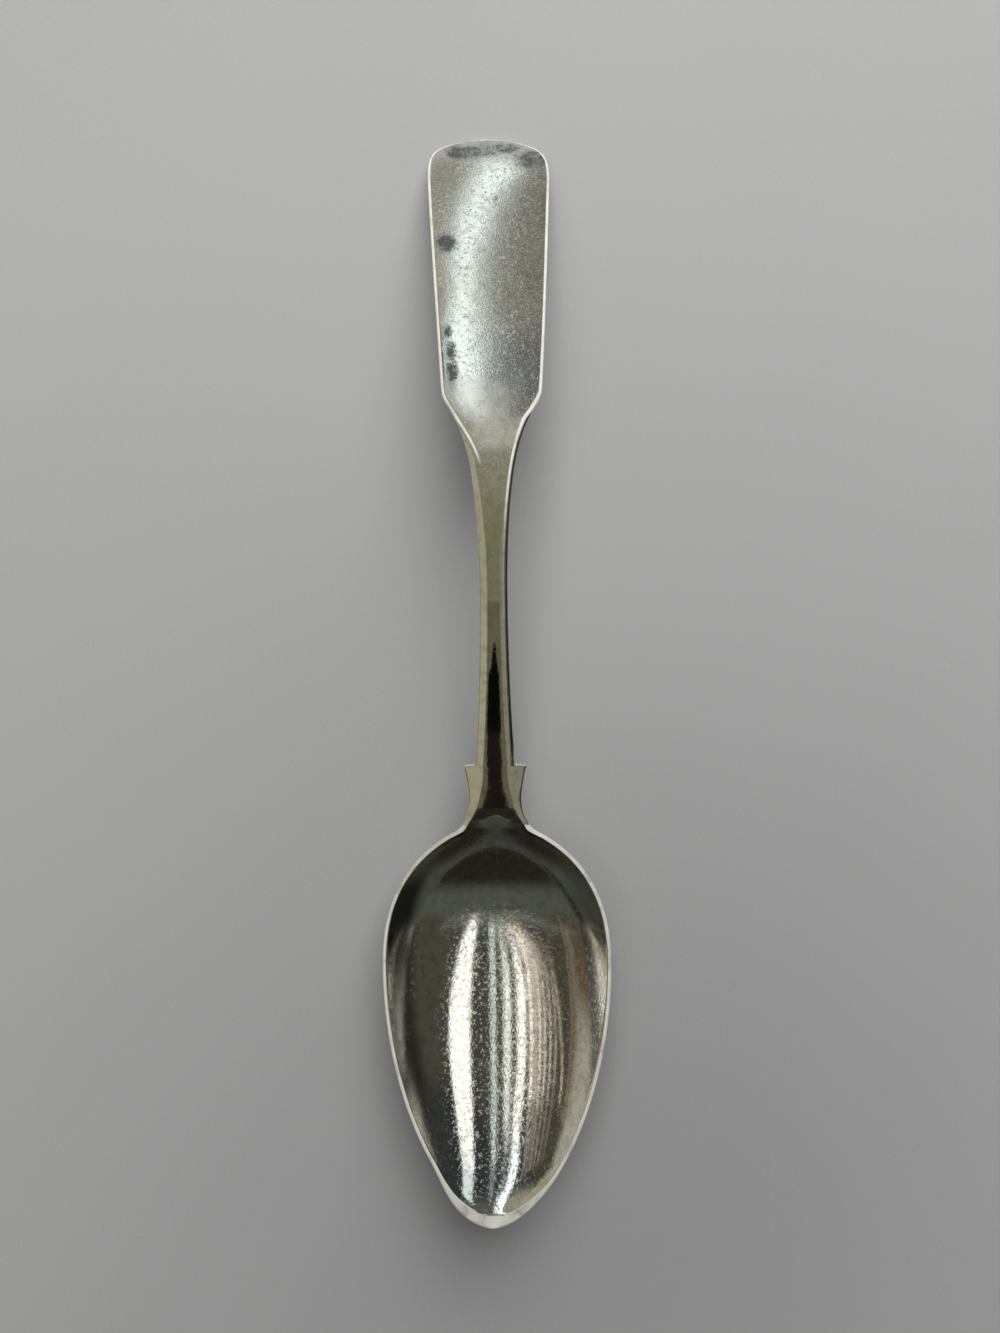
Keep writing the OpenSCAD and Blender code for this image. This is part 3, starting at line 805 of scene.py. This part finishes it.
slat("slat_left_end", [(26.0, -5.6, -4.4), (38.0, -5.4, -4.4)], 0.4, cool)
warm_shares = ((-9.8, 0.30), (-6.5, 0.62), (-2.3, 0.84), (5.0, 0.93), (13.6, 0.98), (20.0, 1.0))
warm_end_shares = ((20.0, 1.0), (28.0, 1.02), (35.0, 1.04))
for k, (middle, width, strength) in enumerate(((-22.5, 2.4, 1.5), (-26.5, 1.5, 1.0), (-30.5, 2.4, 1.1),
                                              (-35.5, 1.9, 1.0), (-41.5, 1.5, 0.9), (-47.5, 1.2, 0.8))):
    thin_slat("slat_warm_%d" % (k + 1), shared_rows(middle, warm_shares), width, strength, warm)
    thin_slat("slat_warm_end_%d" % (k + 1), shared_rows(middle, warm_end_shares), width, 0.35, warm)
thin_slat("slat_far", [(-9.2, -28.7), (-7.2, -38.6), (-2.2, -44.5), (7.0, -50.4), (16.0, -55.6),
                       (25.0, -58.3)], 1.6, 0.75, tan)
# A window beyond the handle, from over it down to the horizon
slat("window", [(25.5, -15.2, -9.6), (31.0, -16.2, -9.0), (35.5, -16.2, -7.0), (37.5, -11.8, -2.2),
                (60.0, -9.3, -3.3), (67.0, -11.4, -4.0), (74.0, -12.7, -2.2), (81.0, -14.5, 1.0),
                (85.0, -16.0, 14.0), (87.0, -17.0, 34.7), (88.5, -33.0, 58.8), (89.5, -63.0, 78.6)],
     1.75, cool)
# A pale ledge along the dark side of the room: tilts to the right and towards the handle
ledge = ((45.6, -19.0), (24.5, -13.7), (0.0, -10.7), (-25.0, -13.5), (-46.0, -18.3), (-73.0, -45.0))
ledge_half = 0.4
reflector("ledge", [on_sphere(side, up + half) for side, up in ledge for half in (-ledge_half, ledge_half)],
          0.3, white)

# Near cards over the stem, the neck and the shoulders: name, height, colour, and rows of a place along the
# spoon and the card's two edges there, in millimetres
near_cards = (
    ("card_stem", 30.5, (0.185, 0.18, 0.115), ((1, -8, 8), (28.5, -8, 8))),
    ("card_shoulder", 30.5, (0.40, 0.40, 0.355), ((28.5, -5, 8), (34, -5, 8))),
    ("card_glow", 30.5, (1.02, 1.12, 1.15), ((37, -6.4, -2.6), (43.5, -6.4, -2.4))),
    ("card_glow_side", 30.5, (0.66, 0.71, 0.72), ((37, -2.6, -0.6), (43.5, -2.4, -0.8))),
    ("card_glow_low", 30.5, (0.68, 0.73, 0.72), ((34, -5.6, -0.6), (37, -6.4, -0.6))),
    ("card_glow_left", 30.5, (0.40, 0.42, 0.38), ((34, -12, -5.6), (37, -12, -6.4), (43.5, -12, -6.4))),
    ("card_glow_right", 30.5, (0.38, 0.40, 0.37), ((34, -0.6, 3.4), (37, -0.6, 3.2), (42, -0.8, 1.6))),
    ("card_dusk", 30.4, (0.125, 0.115, 0.075), ((-38, -8, 8), (2, -8, 8))),
    ("card_neck", 30.0, (0.012, 0.009, 0.007),
     ((-38, -4.6, 4.4), (-30, -3.4, 3.0), (-28, -2.0, 1.8), (-24, -3.0, 2.0), (-19, -3.2, 1.7))),
    ("card_black", 30.0, (0.003, 0.003, 0.002),
     ((-19.5, -3.8, 2.4), (-13, -3.9, 2.4), (-10, -3.3, 2.3), (-9, -1.4, 1.6), (-7.5, -1.1, 1.0),
      (-5, -0.3, 0.5))),
    ("card_left", 30.5, (0.36, 0.345, 0.24), ((-38, -60, -8), (28, -60, -8))),
    ("card_left_end", 30.5, (0.24, 0.235, 0.17), ((28, -60, -5), (34, -60, -5))),
    ("card_right", 30.5, (0.23, 0.225, 0.165), ((-38, 8, 26), (28, 8, 26))),
    ("card_right_dark", 30.5, (0.05, 0.048, 0.038), ((-38, 26, 90), (28, 26, 90))),
)
for name, z, colour, rows in near_cards:
    reflector(name, [(x * MM, y * MM, z * MM) for y, *edges in rows for x in edges], 1.0, colour)

# The walls of the room that the silver mirrors, a box coloured by direction
half_room = 8.0
brown_overhead, grey_overhead = (0.115, 0.088, 0.055, 1), (0.066, 0.063, 0.05, 1)
navy_overhead, low_pale = (0.034, 0.038, 0.038, 1), (0.40, 0.39, 0.33, 1)
beyond_left, beyond_right = (0.31, 0.295, 0.24, 1), (0.105, 0.097, 0.075, 1)
behind_dark, behind_green = (0.020, 0.018, 0.015, 1), (0.082, 0.092, 0.078, 1)


def room_colour(t):
    """Dark behind the camera's side, brown-grey overhead, lighter low down and beyond the handle."""
    outward = t.node("ShaderNodeVectorMath", operation="NORMALIZE")
    t.links.new(t.node("ShaderNodeTexCoord").outputs["Object"], outward.inputs[0])
    split = t.node("ShaderNodeSeparateXYZ")
    t.links.new(outward.outputs[0], split.inputs[0])
    x_dir, y_dir, z_dir = split.outputs
    leftward = t.math("MINIMUM", x_dir, 0.0)
    overhead = t.blend(t.step(x_dir, -0.98, -0.82), brown_overhead, grey_overhead)
    overhead = t.blend(t.step(t.total(y_dir, (x_dir, 0.25)), 0.36, 0.48), overhead, navy_overhead)
    low_band = t.step(t.total(z_dir, (leftward, 0.2)), 0.06, 0.22, to_low=1.0, to_high=0.0)
    low_band = t.math("MULTIPLY", low_band, t.step(t.total(y_dir, (leftward, -0.15)), 0.02, 0.18))
    low = t.blend(low_band, overhead, low_pale)
    far = t.blend(t.step(x_dir, -0.22, 0.03), beyond_left, beyond_right)
    beyond = t.blend(t.step(y_dir, 0.58, 0.7), low, far)
    behind = t.blend(t.step(y_dir, -0.8, -0.55), behind_dark, behind_green)
    bent = t.total(y_dir, (t.math("POWER", t.math("ABSOLUTE", x_dir), 2.0), 0.35))
    return t.blend(t.step(bent, -0.165, -0.115), behind, beyond)


corners = [(x, y, z) for x in (-half_room, half_room) for y in (-half_room, half_room)
           for z in (-half_room, half_room)]
wall_faces = [(0, 1, 3, 2), (4, 6, 7, 5), (0, 4, 5, 1), (2, 3, 7, 6), (0, 2, 6, 4), (1, 5, 7, 3)]
walls_glow, room_tree, room_emission = mirrored("room_walls", corners, wall_faces)
walls_glow.cycles.emission_sampling = "NONE"
room_tree.links.new(room_colour(room_tree), room_emission.inputs["Color"])

# The world is a plain pale backdrop, and lights the scene dimly
backdrop_grey, world_light = (0.36, 0.365, 0.36, 1), 0.22
world = bpy.data.worlds.new("plain_backdrop")
bpy.context.scene.world = world
backdrop = Tree(world)
background = backdrop.nodes["Background"]
background.inputs["Color"].default_value = backdrop_grey
rays = backdrop.node("ShaderNodeLightPath").outputs
seen = backdrop.math("MAXIMUM", rays["Is Camera Ray"], rays["Is Glossy Ray"])
seen = backdrop.math("MAXIMUM", seen, rays["Is Transmission Ray"])
backdrop.links.new(backdrop.total(world_light, (seen, 1 - world_light)), background.inputs["Strength"])


def soft_lamp(name, at, size, watts, colour):
    """A square soft lamp that looks at the middle of the spoon and isn't mirrored in it."""
    data = bpy.data.lights.new(name, "AREA")
    data.shape, data.size = "SQUARE", size
    data.energy, data.color = watts, colour
    lamp = added(name, data)
    lamp.location = at
    lamp.rotation_euler = Vector(at).to_track_quat("Z", "Y").to_euler()
    lamp.visible_glossy = False


soft_lamp("soft_key", (0.08, 0.36, 0.38), 0.4, 2.4, (1.0, 1.0, 0.995))
soft_lamp("soft_fill", (-0.08, -0.05, 0.9), 0.7, 3.8, (1.0, 0.985, 0.975))
# A card that keeps some of the light from above off the bowl and the paper round it
card_shade = sheet("card_shade", -0.045, 0.045, -0.14, 0.0, 0.16)
card_shade.visible_camera = card_shade.visible_glossy = False

# The camera
sensor_w, clip_near, clip_far = 36.0, 0.01, 20
camera_data = bpy.data.cameras.new("camera")
camera_data.sensor_width = sensor_w
camera_data.sensor_fit = "AUTO"
camera_data.lens = focal_px / photo_h * sensor_w
camera_data.clip_start, camera_data.clip_end = clip_near, clip_far
camera = added("camera", camera_data)
camera.location = [c * MM for c in camera_at]
camera.rotation_euler = (0, 0, camera_turn)
bpy.context.scene.camera = camera
bpy.context.scene.view_settings.view_transform = "Standard"
